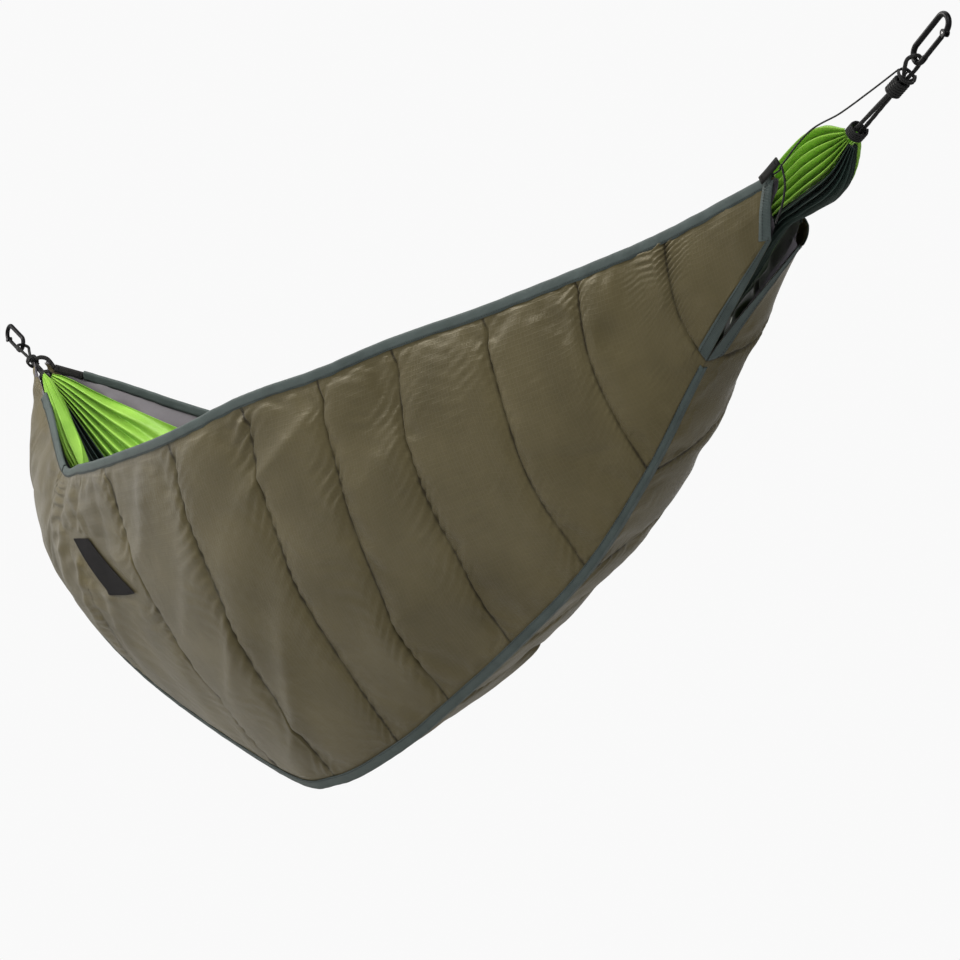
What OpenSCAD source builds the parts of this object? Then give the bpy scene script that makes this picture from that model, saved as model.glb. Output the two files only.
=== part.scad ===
// Full-length hammock underquilt, hung round its gathered-end hammock.
// +X runs along the hammock from the foot hook to the head carabiner, -Y is the near side, +Z is up.
// The origin is where the foot hook hangs in its tree strap.

/* [Quilt] */
// Loft of the quilt: shell, insulation and lining together, at full thickness
loft = 24; // [16:1:30]
// Thickness of the shell fabric, as a solid
shell_t = 2; // [1:0.5:3]
// Thickness of the lining fabric, as a solid
lining_t = 2; // [1:0.5:3]
// Visible width of the binding tape on one side
tape_w = 16; // [10:1:20]
// Thickness of the binding tape
tape_t = 1.5; // [1:0.1:2]

/* [Hammock] */
// Thickness of the hammock fabric, as a solid
cloth_t = 2; // [1:0.5:3]
// Share of the hammock's width that the middle panel takes
middle_share = 0.36; // [0.25:0.01:0.5]

/* [Cords] */
// Diameter of the suspension rope
rope_d = 5.6; // [4:0.2:6]
// Diameter of the quilt's shock cord
shock_d = 2.5; // [2:0.5:3]

/* [Carabiners] */
// Diameter of the carabiner rod
rod_d = 8; // [7:0.5:9]
// Distance between the middles of a carabiner's two ends
clip_len = 56; // [50:1:64]
// Radius of a carabiner's ends, to the middle of the rod
clip_r = 13; // [12.5:0.5:15]
// Diameter of a gate pin
pin_d = 3; // [2.5:0.5:3]

/* [Hidden] */
$fn = 32;

NEAR = -1;
FAR = 1;
fit = 0.3;        // gap kept between neighbouring soft pieces
pin_gap = 0.05;   // running clearance of a gate on its pin

// One row for each quilting seam, from the foot tip to the head end.
// Top edge of the near half
near_rim = [
  [140, -6, -84], [300, -45, -200], [540, -125, -326], [750, -190, -352], [960, -245, -368],
  [1350, -316, -376], [1580, -305, -345], [1765, -272, -324], [1910, -228, -294],
  [2092, -180, -268], [2265, -132, -237], [2420, -84, -203], [2633, -45, -152]
];
// Top edge of the far half
far_rim = [
  [150, 8, -80], [290, 90, -130], [520, 190, -212], [750, 255, -268], [960, 290, -295],
  [1350, 322, -330], [1580, 305, -335], [1765, 270, -325], [1910, 228, -308],
  [2092, 180, -288], [2265, 132, -262], [2420, 86, -230], [2562, 45, -181]
];
// Bottom edge that both halves share, up to the mouth at the head end
keel = [
  [150, 0, -120], [165, 0, -330], [310, 0, -520], [620, 0, -695], [1150, 0, -885],
  [1340, 0, -905], [1545, 0, -860], [1700, 0, -803], [1885, 0, -728],
  [2090, 0, -630], [2255, 0, -505], [2400, 0, -365]
];
near_mouth = [2588, -20, -229];
far_mouth = [2574, 32, -231];
near_bulge = [8, 30, 42, 46, 48, 48, 46, 45, 42, 36, 30, 20, 4];
far_bulge = [8, 55, 80, 90, 95, 95, 90, 85, 80, 72, 60, 42, 8];
seams = len(near_rim) - 1;

// Catmull-Rom curve through a list of points, t from 0 to 1
function at(list, i) =
  i < 0 ? 2 * list[0] - list[1] :
  i >= len(list) ? 2 * list[len(list) - 1] - list[len(list) - 2] : list[i];
function spline(list, t) =
  let (n = len(list) - 1, f = min(max(t, 0), 1) * n, i = min(floor(f), n - 1), u = f - i,
       a = at(list, i - 1), b = at(list, i), c = at(list, i + 1), d = at(list, i + 2))
  (2 * b + (c - a) * u + (2 * a - 5 * b + 4 * c - d) * u * u
   + (3 * b - a - 3 * c + d) * u * u * u) / 2;
function unit(v) = v / norm(v);
function lerp(a, b, t) = a + (b - a) * t;

// Outer face of one half: s from foot to head, v from the top edge down to the keel
function rim_at(side, s) = spline(side == NEAR ? near_rim : far_rim, s);
function keel_at(side, s) =
  let (p = spline(concat(keel, [side == NEAR ? near_mouth : far_mouth]), s))
  [p[0], side * max(side * p[1], fit / 2), p[2]];
function out_at(side, s) =
  let (c = keel_at(side, s) - rim_at(side, s))
  unit([0, side * abs(c[2]), -abs(c[1])]);
function skin(side, s, v) =
  rim_at(side, s) * (1 - v) + keel_at(side, s) * v
  + out_at(side, s) * spline(side == NEAR ? near_bulge : far_bulge, s) * sin(180 * v);

// Inward step of depth d: full loft in the middle of a half, pressed thin at every bound edge
edge_share = 0.12;
function press(v) =
  let (e = min(v, 1 - v))
  edge_share + (1 - edge_share) * min(1, max(0, (e - 0.03) / 0.07));
full_loft_y = 120;
function inset(side, s, v, d) =
  let (p = skin(side, s, v), m = min(1, abs(p[1]) / full_loft_y), k = press(v) * d)
  p + [0, -side * k * max(m, 0.02), (1 - m) * k / 2];

rows = 36;
v_lines = [0, 0.03, 0.1, 0.2, 0.35, 0.5, 0.65, 0.8, 0.9, 0.97, 1];

// Outer face as the panels have it, straight between their rows and lines, for the pieces that lie on it
function on_row(side, i, v) =
  let (k = max([for (n = [0:len(v_lines) - 2]) v_lines[n] <= v ? n : 0]), a = v_lines[k], b = v_lines[k + 1])
  lerp(skin(side, i / rows, a), skin(side, i / rows, b), (v - a) / (b - a));
function face(side, s, v) =
  let (f = s * rows, i = min(floor(f + 0.0001), rows - 1))
  lerp(on_row(side, i, v), on_row(side, i + 1, v), f - i);

// Closed sheet between two grids of points, each a list of rows
module sheet(top, bottom) {
  nr = len(top);
  nc = len(top[0]);
  half = nr * nc;
  points = [for (g = [top, bottom]) for (r = g) for (p = r) p];
  quads = concat(
    [for (i = [0:nr - 2]) for (j = [0:nc - 2])
      [i * nc + j, i * nc + j + 1, (i + 1) * nc + j + 1, (i + 1) * nc + j]],
    [for (i = [0:nr - 2]) for (j = [0:nc - 2])
      [half + i * nc + j, half + (i + 1) * nc + j, half + (i + 1) * nc + j + 1, half + i * nc + j + 1]],
    [for (i = [0:nr - 2]) [(i + 1) * nc, half + (i + 1) * nc, half + i * nc, i * nc]],
    [for (i = [0:nr - 2])
      [i * nc + nc - 1, half + i * nc + nc - 1, half + (i + 1) * nc + nc - 1, (i + 1) * nc + nc - 1]],
    [for (j = [0:nc - 2]) [j, half + j, half + j + 1, j + 1]],
    [for (j = [0:nc - 2])
      [(nr - 1) * nc + j + 1, half + (nr - 1) * nc + j + 1, half + (nr - 1) * nc + j, (nr - 1) * nc + j]]);
  triangles = [for (q = quads) each [[q[0], q[1], q[2]], [q[0], q[2], q[3]]]];
  polyhedron(points, triangles, convexity = 6);
}

// Solid swept through rings of points, capped at both ends
module swept(rings, flip = false) {
  n = len(rings[0]);
  last = len(rings) - 1;
  points = [for (r = rings) for (j = [0:n - 1]) r[flip ? n - 1 - j : j]];
  sides = [for (i = [0:last - 1]) for (j = [0:n - 1])
    let (k = (j + 1) % n, a = i * n + j, b = i * n + k, c = (i + 1) * n + k, d = (i + 1) * n + j)
    each [[a, b, c], [a, c, d]]];
  caps = concat([[for (j = [n - 1:-1:0]) j]], [[for (j = [0:n - 1]) last * n + j]]);
  polyhedron(points, concat(sides, caps), convexity = 8);
}

// Round cord of diameter d along a smooth curve through a route
function along(route, t) = spline(route, t);
function heading(route, t) = unit(along(route, min(1, t + 0.01)) - along(route, max(0, t - 0.01)));
module cord(route, d, rings = 24, sides = 8) {
  swept([for (i = [0:rings])
    let (t = i / rings, h = heading(route, t), ref = abs(h[2]) > 0.9 ? [1, 0, 0] : [0, 0, 1],
         a = unit(cross(ref, h)), b = cross(h, a), p = along(route, t))
    [for (j = [0:sides - 1]) p + (a * cos(360 * j / sides) + b * sin(360 * j / sides)) * d / 2]]);
}

module layer(side, from, to, first = 0, last = 1) {
  grid = function (d)
    [for (i = [0:rows]) let (s = lerp(first, last, i / rows)) [for (v = v_lines) inset(side, s, v, d)]];
  outer = grid(from);
  inner = grid(to);
  if (side == NEAR) sheet(inner, outer);
  else sheet(outer, inner);
}

module near_shell() { color("#6d6450") layer(NEAR, 0, shell_t); }
module far_shell() { color("#6d6450") layer(FAR, 0, shell_t); }
module near_insulation() { color("#e8e6df") layer(NEAR, shell_t + fit, loft - lining_t - fit); }
module far_insulation() { color("#e8e6df") layer(FAR, shell_t + fit, loft - lining_t - fit); }
module near_lining() { color("#6f6c72") layer(NEAR, loft - lining_t, loft); }
module far_lining() { color("#6f6c72") layer(FAR, loft - lining_t, loft); }

// Folded tape that wraps an edge. The edge runs through points p; down points into the panel,
// out points away from the wearer, and the pressed stack of layers is stack thick.
stack = loft * edge_share;
fold_room = 6;
tape_gap = 0.5;    // between a tape and the panel it lies on
function fold(p, down, out) =
  let (o0 = tape_gap, o1 = tape_gap + tape_t, i0 = -stack - tape_gap, i1 = -stack - tape_gap - tape_t,
       top = -fold_room, low = tape_w - fold_room)
  [p + down * low + out * o0, p + down * low + out * o1, p + down * (top - tape_t) + out * o1,
   p + down * (top - tape_t) + out * i1, p + down * low + out * i1, p + down * low + out * i0,
   p + down * top + out * i0, p + down * top + out * o0];
function rim_down(side, s) = unit(face(side, s, 0.03) - face(side, s, 0));
function rim_out(side, s) =
  let (d = rim_down(side, s), run = unit(rim_at(side, min(1, s + 0.01)) - rim_at(side, max(0, s - 0.01))))
  unit(cross(run, d));
function facing(side, v) = sign(v[1]) == side ? v : -v;
// A tape has its rings on the panel's own rows
module rim_tape(side, stops) {
  color("#4e524f") swept([for (i = stops)
    let (s = i / rows)
    fold(face(side, s, 0), rim_down(side, s), facing(side, rim_out(side, s)))], side == FAR);
}

// Tapes on the top edges stop short of the corners, where the end tapes take over
corner_row = 6;
tip_row = 2;
head_row = rows - 0.5;
long_stops = concat([corner_row + 0.03], [for (i = [corner_row + 1:rows - 1]) i], [head_row]);
module near_rim_tape() { rim_tape(NEAR, long_stops); }
module far_rim_tape() { rim_tape(FAR, long_stops); }
module foot_end_tape() {
  rim_tape(NEAR, [tip_row:corner_row]);
  rim_tape(FAR, [tip_row:corner_row]);
}

// Short tape across the head end of one half, on its outer face
head_strip = 0.0055;
module head_tape(side) {
  out = out_at(side, 1);
  color("#4e524f") swept([for (i = [2:8])
    let (a = face(side, 1, v_lines[i]), b = face(side, 1 - head_strip, v_lines[i]), g = 3 * tape_gap, t = g + tape_t)
    [a + out * g, a + out * t, b + out * t, b + out * g]], side == FAR);
}
module near_head_tape() { head_tape(NEAR); }
module far_head_tape() { head_tape(FAR); }

// Bound seam along the keel, wrapped round the bottom edges of both halves
mouth_s = (seams - 1) / seams;
keel_share = 0.976;
function keel_ring(s) =
  let (n = face(NEAR, s, keel_share), f = face(FAR, s, keel_share), k = (face(NEAR, s, 1) + face(FAR, s, 1)) / 2,
       no = out_at(NEAR, s), fo = out_at(FAR, s), g = tape_gap, w = tape_gap + tape_t)
  [n + no * g, k - [0, 0, 2 * g], f + fo * g, f + fo * w, k - [0, 0, 2 * w], n + no * w];
module keel_tape() { color("#4e524f") swept([for (i = [2:mouth_s * rows - 1]) keel_ring(i / rows)]); }

// Tape on the loose bottom edge of one half at the mouth
module mouth_tape(side) {
  color("#4e524f") swept([for (i = [mouth_s * rows:0.5:head_row])
    let (s = i / rows, o = out_at(side, s), t = tape_gap + tape_t,
         a = face(side, s, 0.93), b = face(side, s, 0.97), c = face(side, s, 1))
    [a + o * tape_gap, b + o * tape_gap, c + o * tape_gap, c + o * t, b + o * t, a + o * t]], side == FAR);
}
module near_mouth_tape() { mouth_tape(NEAR); }
module far_mouth_tape() { mouth_tape(FAR); }

// Blank woven patch sewn on the near half by the foot
patch_corners = [[0.235, 0.30], [0.267, 0.264], [0.316, 0.40], [0.279, 0.466]];
patch_t = 1.2;
patch_gap = 1;
module label_patch() {
  c = patch_corners;
  grid = function (lift)
    [for (i = [0:4]) [for (j = [0:6])
      let (w = lerp(lerp(c[0], c[1], i / 4), lerp(c[3], c[2], i / 4), j / 6))
      face(NEAR, w[0], w[1]) + out_at(NEAR, w[0]) * lift]];
  color("#1d1c1e") sheet(grid(patch_gap), grid(patch_gap + patch_t));
}

// Webbing at the corners, where the shock cords come out
function bar(a, b, w, t) =
  let (run = unit(b - a), side = unit(cross(run, [0, 0, 1])), up = cross(side, run))
  [for (p = [a, b]) [for (q = [[-w, -t], [w, -t], [w, t], [-w, t]]) p + up * q[0] / 2 + side * q[1] / 2]];
tab_side = [0, -3.5, -3];   // from the far top edge to the middle of its tab
module foot_corner_tab() {
  color("#141414") swept(bar(rim_at(FAR, 0.015) + tab_side, rim_at(FAR, 0.05) + tab_side, 14, 2));
}
module foot_corner_strap() { color("#141414") swept(bar([126, 1, -70], [158, 8, -72], 7, 2)); }
module near_head_tab() { color("#141414") swept(bar([2616, -56, -156], [2650, -51, -134], 12, 3)); }
module far_head_tab() { color("#141414") swept(bar([2545, 57, -184], [2578, 53, -162], 12, 3)); }

// Shock cords: inside each top edge's tape, then up to the head carabiner
function in_fold(side, s) =
  face(side, s, 0) - rim_down(side, s) * (fold_room - shock_d / 2 - fit)
  - facing(side, rim_out(side, s)) * stack / 2;
near_cord_end = [[2700, -37, -104], [2752, -22, -86], [2810, -14, -66], [2862, -8, -47.5]];
far_cord_end = [[2650, 37, -116], [2745, 24, -84], [2810, 15, -64], [2862, 8, -47.5]];
module shock_cord(side, end) {
  fold_points = [for (i = [corner_row + 1:rows]) in_fold(side, i / rows)];
  lead = concat([fold_points[len(fold_points) - 1]], end);
  lead_points = [for (i = [1:28]) spline(lead, i / 28)];
  color("#101010") cord(concat(fold_points, lead_points), shock_d, len(fold_points) + 27);
}
module near_shock_cord() { shock_cord(NEAR, near_cord_end); }
module far_shock_cord() { shock_cord(FAR, far_cord_end); }
module head_gather_cord() {
  color("#101010") cord([[2656, -50, -140], [2660, -47, -165], [2650, -44, -190], [2622, -36, -212]], 3, 10);
}

// Hammock: edge and bottom curves from the foot gather to the head gather. The near edge hangs lower.
near_edge = [
  [186, 9, -104], [250, 17, -140], [400, 38, -262], [640, 105, -395], [1000, 185, -440], [1400, 228, -440],
  [1800, 176, -390], [2150, 105, -320], [2400, 50, -235], [2560, 28, -158], [2640, 28, -116], [2710, 26, -96],
  [2748, 12, -104]
];
far_edge = [
  [186, 9, -104], [250, 20, -122], [400, 70, -190], [640, 140, -272], [1000, 210, -325], [1400, 240, -340],
  [1800, 200, -310], [2150, 125, -250], [2400, 58, -195], [2560, 30, -152], [2640, 28, -114], [2710, 26, -95],
  [2748, 12, -104]
];
hammock_low = [
  [186, 0, -124], [250, 0, -180], [400, 0, -330], [640, 0, -520], [1000, 0, -700], [1400, 0, -760],
  [1800, 0, -645], [2150, 0, -485], [2400, 0, -320], [2560, 0, -216], [2640, 0, -192], [2710, 0, -170],
  [2748, 0, -128]
];
function hammock_at(s, u) =
  let (e = spline(u < 0 ? near_edge : far_edge, s), k = spline(hammock_low, s))
  [k[0], e[1] * sin(90 * u), lerp(k[2], e[2], pow(abs(u), 1.7))];
module hammock_panel(from, to, steps) {
  grid = function (lift)
    [for (i = [0:44]) [for (j = [0:steps]) hammock_at(i / 44, lerp(from, to, j / steps)) + [0, 0, lift]]];
  sheet(grid(cloth_t), grid(0));
}
join = 0.004;
module hammock_near_panel() { color("#9fd14f") hammock_panel(-1, -middle_share - join, 6); }
module hammock_middle_panel() { color("#1c2a26") hammock_panel(-middle_share + join, middle_share - join, 6); }
module hammock_far_panel() { color("#9fd14f") hammock_panel(middle_share + join, 1, 6); }

// A piece of round section whose own Z axis lies along the suspension line
slope = 26;
module on_line(p, a) { translate(p) rotate([0, 90 - a, 0]) children(); }
module ring(r, d) { rotate_extrude() translate([r, 0]) circle(d = d); }

// Turns of whipping line round a gathered end or a pair of ropes
module turns(count, r, d) {
  for (i = [0:count - 1]) translate([0, 0, i * (d + 0.1)]) ring(r, d);
}
module head_whipping() { color("#101010") on_line([2752, 0, -112], slope) turns(5, 12, 3); }
module foot_whipping() { color("#101010") on_line([182, 0, -112], 180 - slope) turns(4, 11, 3); }

// Where the two loops bear on the inner ends of the hook and carabiner
rock_z = -37.8;
foot_bear = [68.2, 0, rock_z];
head_bear = [2885, 0, rock_z];
bend = (rod_d + rope_d) / 2 + fit;
loop_y = 10.5;      // half the width of a loop where it passes its clip, so the sling can rock
head_route = [
  [2752, -6, -112], [2780, -5, -99], [2820, -3.2, -80], [2862, -3.2, -60], [2875, -8.5, -49],
  [head_bear[0], -loop_y, -38.6], [head_bear[0] + bend, 0, -34.4], [head_bear[0], loop_y, -38.6],
  [2875, 8.5, -49], [2862, 3.2, -60], [2820, 3.2, -80], [2780, 5, -99], [2752, 6, -112]
];
module head_rope() { color("#141414") cord(head_route, rope_d, 60); }
module head_knot() { color("#141414") on_line([2838, 0, -71.5], slope) turns(6, 9.6, 4.2); }
module head_cord_hitch() { color("#101010") on_line([2867, 0, -57], slope) turns(2, 12.2, 2.6); }
foot_route = [
  [178, -4, -110], [150, -4, -94], [120, -3.2, -76], [98, -3.2, -62], [80, -8, -49],
  [foot_bear[0], -loop_y, -38.6], [foot_bear[0] - bend, 0, -34.4], [foot_bear[0], loop_y, -38.6],
  [80, 8, -49], [98, 3.2, -62], [120, 3.2, -76], [150, 4, -94], [178, 4, -110]
];
module foot_cord() { color("#141414") cord(foot_route, rope_d, 60); }
module foot_knot() { color("#141414") on_line([118, 0, -74.8], 180 - slope - 5) turns(3, 9.6, 4.2); }

// Carabiner, drawn in its own XZ plane: the rope's end is at the origin, the strap's end at +X.
// The gate closes the -Z side and turns on a pin near the strap's end.
gate_z = -clip_r;
pivot_x = clip_len - 2;
nose_x = 6;
gate_r = 3.4;
ear_w = 9;
slot_w = 4.6;
module rod_between(a, b, d) {
  v = b - a;
  translate(a) rotate([0, acos(v[2] / norm(v)), v[0] >= 0 ? 0 : 180]) cylinder(d = d, h = norm(v));
}
module end_arc(x, from, span) {
  translate([x, 0, 0]) rotate([90, 0, 0]) rotate([0, 0, from])
    rotate_extrude(angle = span) translate([clip_r, 0]) circle(d = rod_d);
}
module clip_body() {
  difference() {
    union() {
      end_arc(0, 90, 180);
      end_arc(clip_len, -90, 180);
      translate([0, 0, clip_r]) rotate([0, 90, 0]) cylinder(d = rod_d, h = clip_len);
      translate([0, 0, gate_z]) rotate([0, 90, 0]) cylinder(d = rod_d, h = nose_x);
      translate([pivot_x, 0, gate_z]) rotate([90, 0, 0]) cylinder(r = 5, h = ear_w, center = true);
    }
    translate([pivot_x - 6.5, -slot_w / 2, gate_z - 8]) cube([13, slot_w, 16]);
    translate([pivot_x, 0, gate_z]) rotate([90, 0, 0]) cylinder(d = pin_d, h = ear_w + 2, center = true);
    translate([nose_x - 3, -1.3, gate_z - 6]) cube([6, 2.6, 12]);
  }
}
module clip_gate() {
  back = pivot_x - 8;
  difference() {
    union() {
      translate([nose_x + fit, 0, gate_z]) rotate([0, 90, 0]) cylinder(r = gate_r, h = back - nose_x - fit);
      intersection() {
        translate([back - 1, -slot_w / 2 + 0.3, gate_z - 3]) cube([10, slot_w - 0.6, 6]);
        union() {
          translate([back - 1, 0, gate_z]) rotate([0, 90, 0]) cylinder(r = 3, h = 9);
          translate([pivot_x, 0, gate_z]) rotate([90, 0, 0]) cylinder(r = 3, h = ear_w, center = true);
        }
      }
      translate([nose_x - 2.6, -0.9, gate_z - 1.5]) cube([4, 1.8, 3]);
    }
    translate([pivot_x, 0, gate_z]) rotate([90, 0, 0]) cylinder(d = pin_d + 2 * pin_gap, h = ear_w, center = true);
    translate([back - 22, 0, gate_z]) rotate([0, 90, 0]) cylinder(r = 2, h = 18);
  }
}
module clip_pin() {
  translate([pivot_x, 0, gate_z]) rotate([90, 0, 0]) cylinder(d = pin_d, h = ear_w, center = true);
}
spring_turns = 5;
spring_steps = 8;
module clip_spring() {
  length = 16;
  start = pivot_x - 29;
  swept([for (i = [0:spring_turns * spring_steps])
    let (w = 360 * i / spring_steps, x = start + length * i / (spring_turns * spring_steps))
    [for (j = [0:3])
      let (r = 1.5 + 0.25 * cos(90 * j))
      [x + 0.25 * sin(90 * j), r * cos(w), gate_z + r * sin(w)]]]);
}

// The two clips stand in the XZ plane and lean up towards their straps
lean = 29;
module at_head() { translate(head_bear) rotate([0, -lean, 0]) translate([clip_r, 0, 0]) children(); }
module at_foot() {
  translate(foot_bear) rotate([0, -lean, 180]) translate([clip_r, 0, 0]) children();
}
module head_carabiner() { color("#1b1b1c") at_head() clip_body(); }
module head_gate() { color("#2a2a2b") at_head() clip_gate(); }
module head_gate_pin() { color("#8c8c8c") at_head() clip_pin(); }
module head_gate_spring() { color("#b0b0b0") at_head() clip_spring(); }
module foot_hook() { color("#1b1b1c") at_foot() clip_body(); }
module foot_gate() { color("#2a2a2b") at_foot() clip_gate(); }
module foot_gate_pin() { color("#8c8c8c") at_foot() clip_pin(); }
module foot_gate_spring() { color("#b0b0b0") at_foot() clip_spring(); }

near_shell();
far_shell();
near_insulation();
far_insulation();
near_lining();
far_lining();
near_rim_tape();
far_rim_tape();
foot_end_tape();
near_head_tape();
far_head_tape();
keel_tape();
near_mouth_tape();
far_mouth_tape();
label_patch();
foot_corner_tab();
foot_corner_strap();
near_head_tab();
far_head_tab();
near_shock_cord();
far_shock_cord();
head_gather_cord();
hammock_near_panel();
hammock_middle_panel();
hammock_far_panel();
head_whipping();
foot_whipping();
head_rope();
head_knot();
head_cord_hitch();
foot_cord();
foot_knot();
head_carabiner();
head_gate();
head_gate_pin();
head_gate_spring();
foot_hook();
foot_gate();
foot_gate_pin();
foot_gate_spring();
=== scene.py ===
import math

import bpy
import numpy as np
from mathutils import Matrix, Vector
from mathutils.bvhtree import BVHTree


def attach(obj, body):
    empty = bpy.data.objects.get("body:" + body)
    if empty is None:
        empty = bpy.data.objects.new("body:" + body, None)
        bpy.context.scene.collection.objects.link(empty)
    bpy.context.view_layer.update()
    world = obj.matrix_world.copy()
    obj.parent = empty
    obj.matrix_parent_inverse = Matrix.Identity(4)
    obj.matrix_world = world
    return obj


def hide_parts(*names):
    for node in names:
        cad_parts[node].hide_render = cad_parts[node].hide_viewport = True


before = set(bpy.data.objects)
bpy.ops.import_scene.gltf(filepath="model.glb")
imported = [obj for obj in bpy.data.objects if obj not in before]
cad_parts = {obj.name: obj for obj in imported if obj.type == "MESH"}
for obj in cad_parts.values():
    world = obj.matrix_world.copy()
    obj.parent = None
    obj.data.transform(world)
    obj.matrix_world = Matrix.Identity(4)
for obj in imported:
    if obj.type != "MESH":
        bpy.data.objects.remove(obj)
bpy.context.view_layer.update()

# A quilt hung round a gathered-end hammock. Lengths are in metres, in the CAD's frame: X runs from foot to
# head, Z is up, and the near side is at negative Y. On a quilt half, s runs from 0 at the foot to 1 at the
# head, and v from 0 at the top edge to 1 at the keel.

MM = 0.001
TINY = 1e-9
NEAR, FAR = -1, 1
TURN = 2 * math.pi
LIT_POINT = (1.4, 0, -0.45)     # near the object's middle, where the lights aim

# The backdrop's brightness by height: 0 is straight down, 0.5 is level and 1 is straight up
SKY = ((0.42, 0.06), (0.495, 0.95), (0.625, 0.95), (0.68, 0.15))


# ---------------------------------------------------------------- camera, lights and floor

def add_camera():
    heading, pitch = math.radians(59.81), math.radians(6.744)
    level = math.cos(pitch)
    look = Vector((-math.sin(heading) * level, math.cos(heading) * level, math.sin(pitch)))
    data = bpy.data.cameras.new("view")
    data.lens = 150
    data.sensor_width = 36
    data.clip_end = 100
    camera = bpy.data.objects.new("view", data)
    camera.location = (6.942, -3.003, -1.173)
    camera.rotation_euler = look.to_track_quat("-Z", "Y").to_euler()
    bpy.context.scene.collection.objects.link(camera)
    bpy.context.scene.camera = camera


def add_light(name, place, size, power, colour=(1, 1, 1)):
    data = bpy.data.lights.new(name, "AREA")
    data.size = size
    data.energy = power
    data.color = colour
    light = bpy.data.objects.new(name, data)
    light.location = place
    aim = Vector(LIT_POINT) - Vector(place)
    light.rotation_euler = aim.to_track_quat("-Z", "Y").to_euler()
    bpy.context.scene.collection.objects.link(light)


def add_world():
    """A white band behind the object, and a dim ground and sky, so that the cloth keeps its shading."""
    world = bpy.data.worlds.new("studio")
    world.use_nodes = True
    tree = world.node_tree
    direction = tree.nodes.new("ShaderNodeTexCoord").outputs["Generated"]
    split = tree.nodes.new("ShaderNodeSeparateXYZ")
    tree.links.new(direction, split.inputs[0])
    height = tree.nodes.new("ShaderNodeMath")
    height.operation = "MULTIPLY_ADD"
    height.inputs[1].default_value = height.inputs[2].default_value = 0.5
    tree.links.new(split.outputs["Z"], height.inputs[0])
    ramp = tree.nodes.new("ShaderNodeValToRGB")
    band = ramp.color_ramp
    for position, level in SKY:
        element = band.elements.new(position)
        element.color = (level, level, level, 1)
    band.elements.remove(band.elements[0])
    band.elements.remove(band.elements[-1])
    tree.links.new(height.outputs[0], ramp.inputs["Fac"])
    tree.links.new(ramp.outputs["Color"], tree.nodes["Background"].inputs["Color"])
    bpy.context.scene.world = world


# ---------------------------------------------------------------- materials

class Paint:
    """A material of a few texture nodes. Threads read the UV map and noise reads the place, in metres."""

    def __init__(self, name):
        self.material = bpy.data.materials.new(name)
        self.material.use_nodes = True
        self.tree = self.material.node_tree
        self.shader = self.tree.nodes["Principled BSDF"]
        self.uv = self.add("ShaderNodeUVMap").outputs["UV"]
        self.place = self.add("ShaderNodeTexCoord").outputs["Object"]

    def add(self, kind, inputs=(), **settings):
        node = self.tree.nodes.new(kind)
        for key, value in settings.items():
            setattr(node, key, value)
        for key, value in dict(inputs).items():
            if isinstance(value, bpy.types.NodeSocket):
                self.tree.links.new(value, node.inputs[key])
            else:
                node.inputs[key].default_value = value
        return node

    def maths(self, operation, a, b):
        return self.add("ShaderNodeMath", {0: a, 1: b}, operation=operation).outputs[0]

    def noise(self, size, detail=3):
        node = self.add("ShaderNodeTexNoise", {"Vector": self.place, "Scale": 1 / size, "Detail": detail})
        return node.outputs[0]

    def lines(self, pitch, direction, at=None):
        # A wave texture of scale 1 repeats every 2 pi / 20
        settings = {"Vector": at or self.uv, "Scale": TURN / 20 / pitch}
        return self.add("ShaderNodeTexWave", settings, bands_direction=direction).outputs["Fac"]

    def turned(self, angle):
        return self.add("ShaderNodeMapping", {"Vector": self.uv, "Rotation": (0, 0, angle)}).outputs[0]

    def colour(self, factor, *stops):
        ramp = self.add("ShaderNodeValToRGB", {"Fac": factor})
        band = ramp.color_ramp
        while len(band.elements) < len(stops):
            band.elements.new(0.5)
        for element, (position, rgb) in zip(band.elements, stops):
            element.position = position
            element.color = (*rgb, 1)
        self.tree.links.new(ramp.outputs["Color"], self.shader.inputs["Base Color"])

    def roughness(self, factor, low, high):
        spread = self.add("ShaderNodeMapRange", {"Value": factor, "To Min": low, "To Max": high})
        self.tree.links.new(spread.outputs["Result"], self.shader.inputs["Roughness"])

    def bump(self, height, depth):
        node = self.add("ShaderNodeBump", {"Height": height, "Distance": depth})
        self.tree.links.new(node.outputs[0], self.shader.inputs["Normal"])

    def set(self, **values):
        for key, value in values.items():
            self.shader.inputs[key.replace("_", " ")].default_value = value
        return self.material


# Painted shade: along each seam's needle crease, the shell's colour darkens towards this near-black brown
SEAM_SHADE = (0.012, 0.009, 0.004)
SEAM_SHADE_STRENGTH = 0.6


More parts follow.
